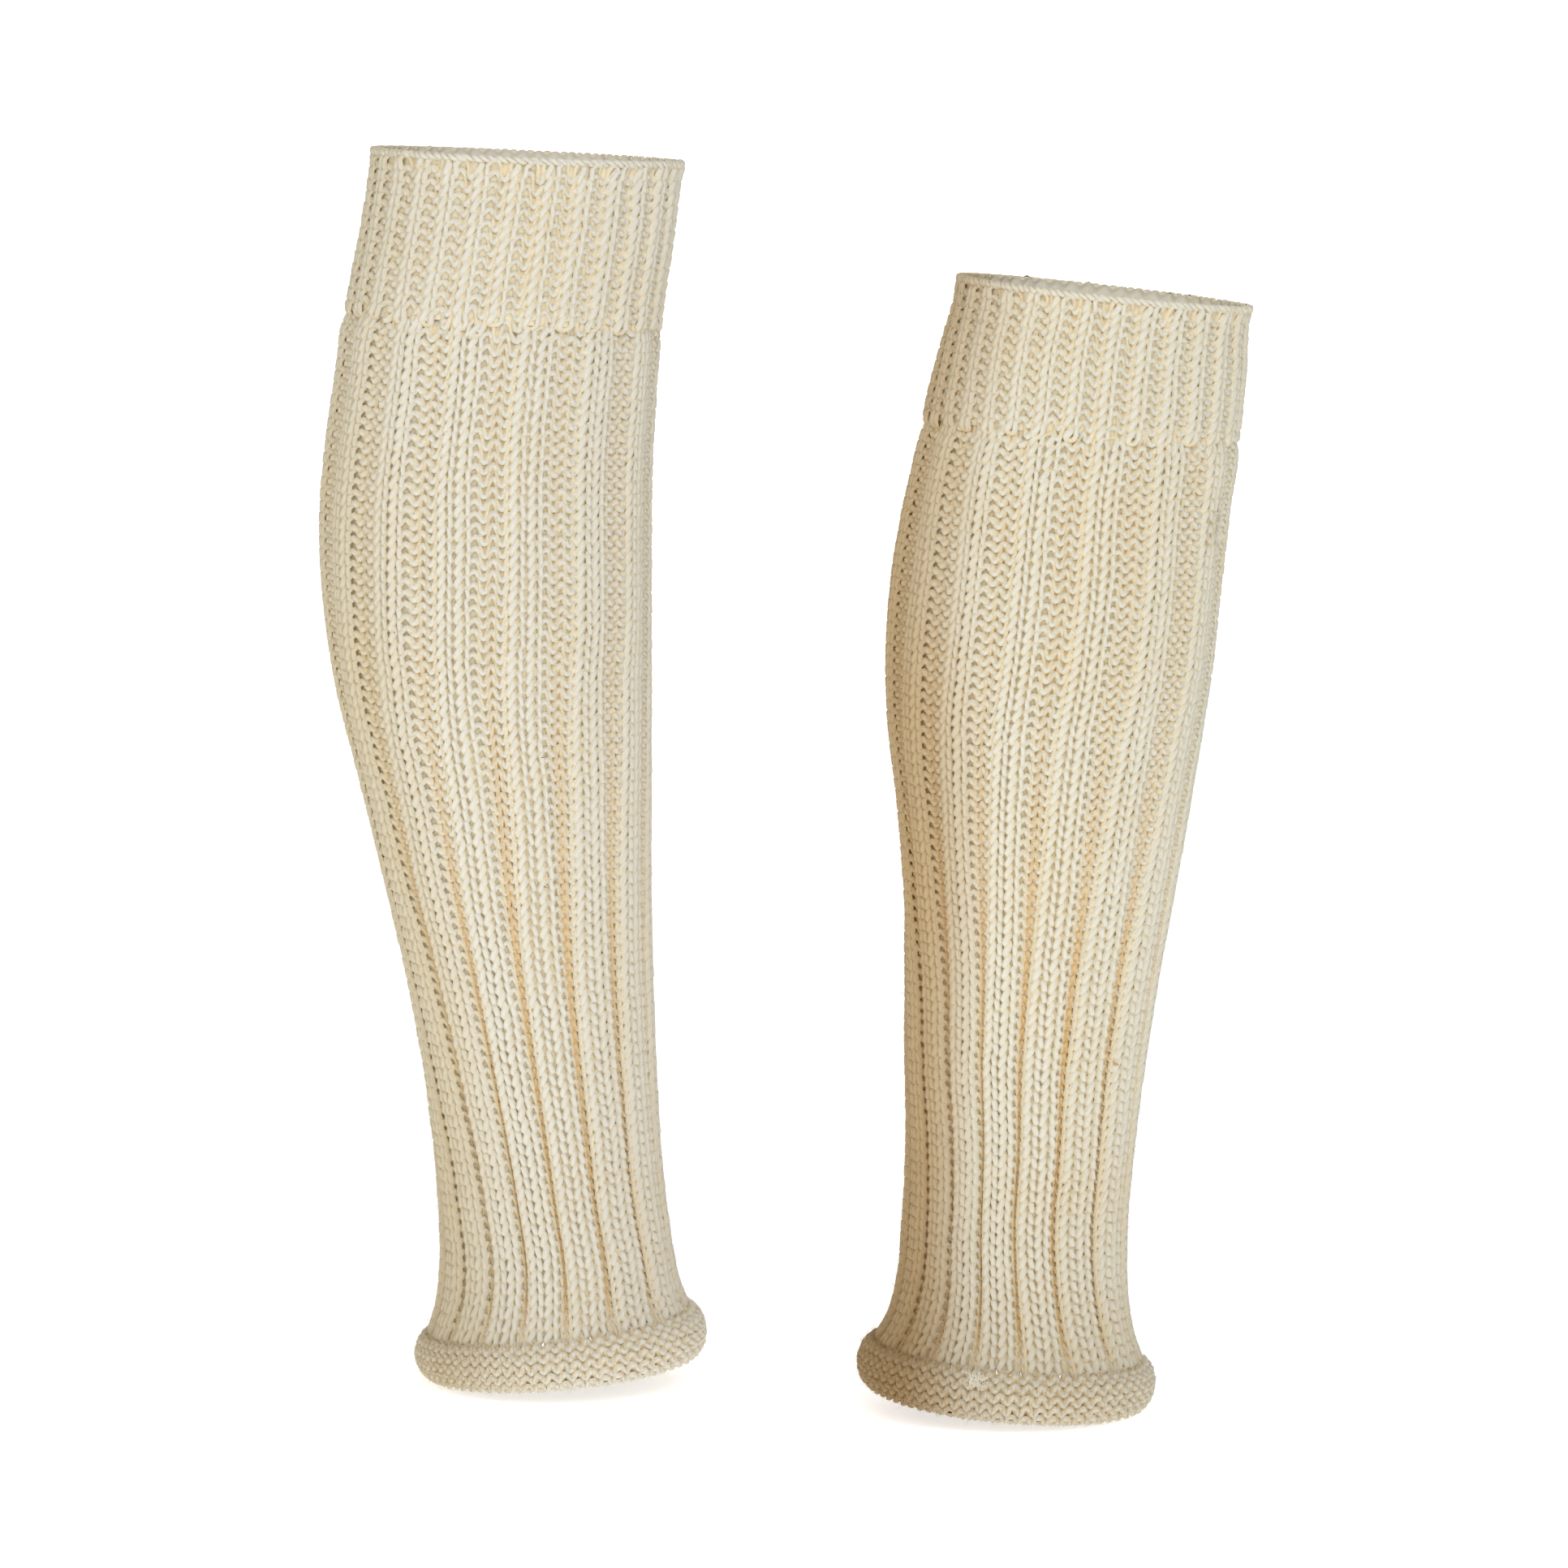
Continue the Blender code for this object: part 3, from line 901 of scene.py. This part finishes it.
def chaff(name):
    """Dry bits of plant, dark or tan."""
    material, tree, shader = new_material(name)
    shader["Roughness"].default_value = 0.8
    tree.links.new(blend(tree, stored(tree, "tan"), CHAFF_DARK, CHAFF_TAN), shader["Base Color"])
    return material


# Pieces

def dress(obj, material, warmer):
    """Gives each piece its material and the painted shade that each point takes near the calf's side and
    the ankle.
    """
    places = np.empty(3 * len(obj.data.vertices), np.float32)
    obj.data.vertices.foreach_get("co", places)
    places = places.reshape(-1, 3) / MM - warmer.place
    ring = rings_at(warmer.cuff[:-1] + warmer.leg, places[:, 2])
    below = -places[:, 2]
    # Painted shade on the calf's side, which grows down the leg
    gained = REAR_GAIN * np.clip(below / REAR_OVER, 0, 1)
    rear = (ring.x - places[:, 0]) / ring.half_x * (REAR_AT_CUFF + gained)
    # Painted shade that darkens towards the ankle, more so on the calf's side
    low = np.clip((below - ANKLE_SHADE_FROM) / ANKLE_SHADE_OVER, 0, 1) ** 2
    low = low * (ANKLE_SHADE_SHIN + ANKLE_SHADE_CALF * np.clip(rear, 0, 1))
    for key, values in (("rear", rear), ("low", low)):
        attribute = obj.data.attributes.new(key, "FLOAT", "POINT")
        attribute.data.foreach_set("value", values.astype(np.float32))
    obj.data.materials.append(material)
    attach(obj, "root")


def cuff_part(warmer):
    """The cuff in 1x1 rib, under its cast-on chain."""
    name, rows, top = warmer.name + "_cuff", warmer.cuff_rows, warmer.cuff[0].z
    surface = tube_surface(warmer.cuff, warmer.place, top, top / (rows + CUFF_SPARE), CUFF_RIB)
    loops = courses(surface, rows, CUFF_FIRST, CUFF_RIB, edges=(0, rows - 1))
    stitches = [
        tube_mesh(name + "_stitches", *loops, OPEN),
        tube_mesh(warmer.name + "_cast_on", *edge_chain(surface), WHOLE),
        fuzz(name + "_fuzz", surface, CUFF_FUZZ, (0.0, rows)),
    ]
    inside = face(name + "_inside", surface, rows, CUFF_FACE, CUFF_BACK)
    lining = face(name + "_lining", surface, rows, CUFF_LINING, LINING, relief=True)
    return Part(surface, stitches, inside, [lining], (CUFF_FLAT, top * MM))


def leg_part(warmer):
    """The long leg in 2x2 rib."""
    name, rows, length = warmer.name + "_leg", warmer.leg_rows, -warmer.leg[-1].z
    surface = tube_surface(warmer.leg, warmer.place, 0.0, length / rows, LEG_RIB, flares=True)
    stitches = []
    spans = np.linspace(0, rows, LEG_SPANS + 1).astype(int)
    for i, (start, end) in enumerate(zip(spans, spans[1:])):
        loops = courses(surface, end - start, start, LEG_RIB, edges=(0,) if start == 0 else ())
        stitches.append(tube_mesh(f"{name}_stitches_{i + 1}", *loops, OPEN))
    stitches.append(fuzz(name + "_fuzz", surface, LEG_FUZZ, (0.0, rows)))
    inside = face(name + "_inside", surface, rows, LEG_FACE, LEG_BACK)
    lining = face(name + "_lining", surface, rows, LEG_LINING, LINING, relief=True)
    return Part(surface, stitches, inside, [lining], (LEG_FLAT, length * MM))


def hem_part(warmer):
    """The hem, which rolls outwards and shows its purl side."""
    name = warmer.name + "_hem"
    surface = hem_surface(warmer)
    stitches = [
        tube_mesh(name + "_stitches", *courses(surface, HEM_ROWS, HEM_FIRST, upwards=True), OPEN),
        fuzz(name + "_fuzz", surface, HEM_FUZZ, (0.0, HEM_ROWS)),
    ]
    inside = face(name + "_inside", surface, HEM_ROWS, HEM_FACE, HEM_BACK)
    return Part(surface, stitches, inside, [], HEM_FLAT)


def loose_bits(warmer, parts):
    """Chaff, tufts of fluff and a hair, which cling to the wool."""
    name = warmer.name
    bits = chaff(name + "_chaff")
    fluff = plain(name + "_loose_wool", LOOSE_WOOL)
    for key, marks in FLECKS[name].items():
        dress(flecks(f"{name}_{key}_flecks", parts[key].surface, marks), bits, warmer)
    for key, tufts in TUFTS[name].items():
        for i, (s, v, s_half, v_half, count, longer) in enumerate(tufts):
            v_range, s_range = (v - v_half, v + v_half), (s - s_half, s + s_half)
            piece_name = f"{name}_{key}_fluff_{i + 1}"
            tuft = fuzz(piece_name, parts[key].surface, count, v_range, s_range, longer, TUFT_FIBRE)
            dress(tuft, fluff, warmer)
    if name == "right":
        dress(hair("right_cuff_hair", parts["cuff"].surface, HAIR), bits, warmer)


def knitted(warmer):
    """All pieces of one warmer, with the face behind the yarns of each stretch. The face
    behind the yarns stands for the cloth of its stretch.
    """
    name = warmer.name
    front, back, deep, *tints = COLOURS[name]
    # The hem's roll is painted with deeper shade behind its loops
    warm = tuple((1 - HEM_DEEPER) * b + HEM_DEEPER * d for b, d in zip(back, deep))
    yarn = wool(name + "_wool", COLOURS[name])
    inner = wool(name + "_wool_inside", COLOURS[name], lined=True)
    rolled = wool(name + "_wool_rolled", (front, warm, deep, *tints))
    parts = {"cuff": cuff_part(warmer), "leg": leg_part(warmer), "hem": hem_part(warmer)}
    loose_bits(warmer, parts)
    for key, part in parts.items():
        for piece in part.stitches + [part.inside]:
            dress(piece, rolled if key == "hem" else yarn, warmer)
        for piece in part.linings:
            dress(piece, inner, warmer)
        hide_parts(f"{name}_{key}")


# Stage

def linked(name, data):
    """An object of the scene with some data."""
    obj = bpy.data.objects.new(name, data)
    bpy.context.scene.collection.objects.link(obj)
    return obj


def camera():
    """The camera, level from side to side."""
    data = bpy.data.cameras.new("camera")
    data.lens = LENS
    data.sensor_width = SENSOR
    data.clip_end = FARTHEST
    obj = linked("camera", data)
    obj.location = CAMERA
    aim = np.array(CAMERA_AIM) - np.array(obj.location)
    obj.rotation_euler = (math.atan2(math.hypot(aim[0], aim[1]), -aim[2]), 0.0, 0.0)
    bpy.context.scene.camera = obj


def area_light(name, place, size, power, colour):
    """A round soft light, aimed at the part."""
    data = bpy.data.lights.new(name, "AREA")
    data.shape = "DISK"
    data.size = size
    data.energy = power
    data.color = colour
    obj = linked(name, data)
    obj.location = place
    obj.rotation_euler = (Vector(LIGHT_AIM) - Vector(place)).to_track_quat("-Z", "Y").to_euler()


def sweep_material():
    """White that glows, brightest behind the part as the camera of the photograph sees it."""
    material = plain("sweep", PALE)
    tree = material.node_tree
    shader = tree.nodes["Principled BSDF"].inputs
    shader["Emission Color"].default_value = (1, 1, 1, 1)
    apart = tree.nodes.new("ShaderNodeSeparateXYZ")
    tree.links.new(tree.nodes.new("ShaderNodeTexCoord").outputs["Object"], apart.inputs["Vector"])
    x, y = apart.outputs["X"], apart.outputs["Y"]
    depth = maths(tree, "MAXIMUM", maths(tree, "ADD", y, -CAMERA[1]), FAN_DEPTH)
    aside = maths(tree, "DIVIDE", maths(tree, "SUBTRACT", x, CAMERA[0]), depth)
    from_left = ranged(tree, aside, FAN_LEFT, smooth=True)
    from_right = ranged(tree, aside, FAN_RIGHT, (FAN_RIGHT_LEAST, 1.0), smooth=True)
    seen = maths(tree, "SUBTRACT", maths(tree, "MULTIPLY", from_left, from_right), EVEN)
    from_front = ranged(tree, y, FAN_FRONT, smooth=True)
    lit = maths(tree, "ADD", maths(tree, "MULTIPLY", seen, from_front), EVEN)
    tree.links.new(blend(tree, lit, SHADE, PALE), shader["Base Color"])
    far = ranged(tree, y, GLOW_PLACES, GLOW_STRENGTHS)
    glow = ranged(tree, maths(tree, "POWER", lit, GLOW_POWER), (0.0, 1.0), (GLOW_LEAST, 1.0))
    tree.links.new(maths(tree, "MULTIPLY", glow, far), shader["Emission Strength"])
    return material


def sweep():
    """The floor, which bends up into the wall behind the part."""
    low = min(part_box(n)[0].z for n in ("left_hem", "right_hem")) - SWEEP_GAP
    bend = [
        (SWEEP_BACK + SWEEP_BEND * math.sin(a), low + SWEEP_BEND * (1 - math.cos(a)))
        for a in np.linspace(BEND_START, math.pi / 2, BEND_POINTS)
    ]
    profile = [(SWEEP_FRONT, low), (SWEEP_BACK, low), *bend, (SWEEP_BACK + SWEEP_BEND, SWEEP_TOP)]
    verts = [(x, y, z) for y, z in profile for x in (-SWEEP_HALF_WIDTH, SWEEP_HALF_WIDTH)]
    faces = [(2 * i, 2 * i + 1, 2 * i + 3, 2 * i + 2) for i in range(len(profile) - 1)]
    data = bpy.data.meshes.new("sweep")
    data.from_pydata(verts, [], faces)
    data.shade_smooth()
    data.materials.append(sweep_material())
    linked("sweep", data)


def studio():
    """Even light from all round, the soft lights, and colours shown as they are."""
    world = bpy.data.worlds.new("studio")
    world.use_nodes = True
    background = world.node_tree.nodes["Background"].inputs
    background["Color"].default_value = (1, 1, 1, 1)
    background["Strength"].default_value = WORLD
    bpy.context.scene.world = world
    bpy.context.scene.view_settings.view_transform = "Standard"
    for name, light in LIGHTS.items():
        area_light(name, *light)


camera()
sweep()
studio()
for each in WARMERS:
    knitted(each)
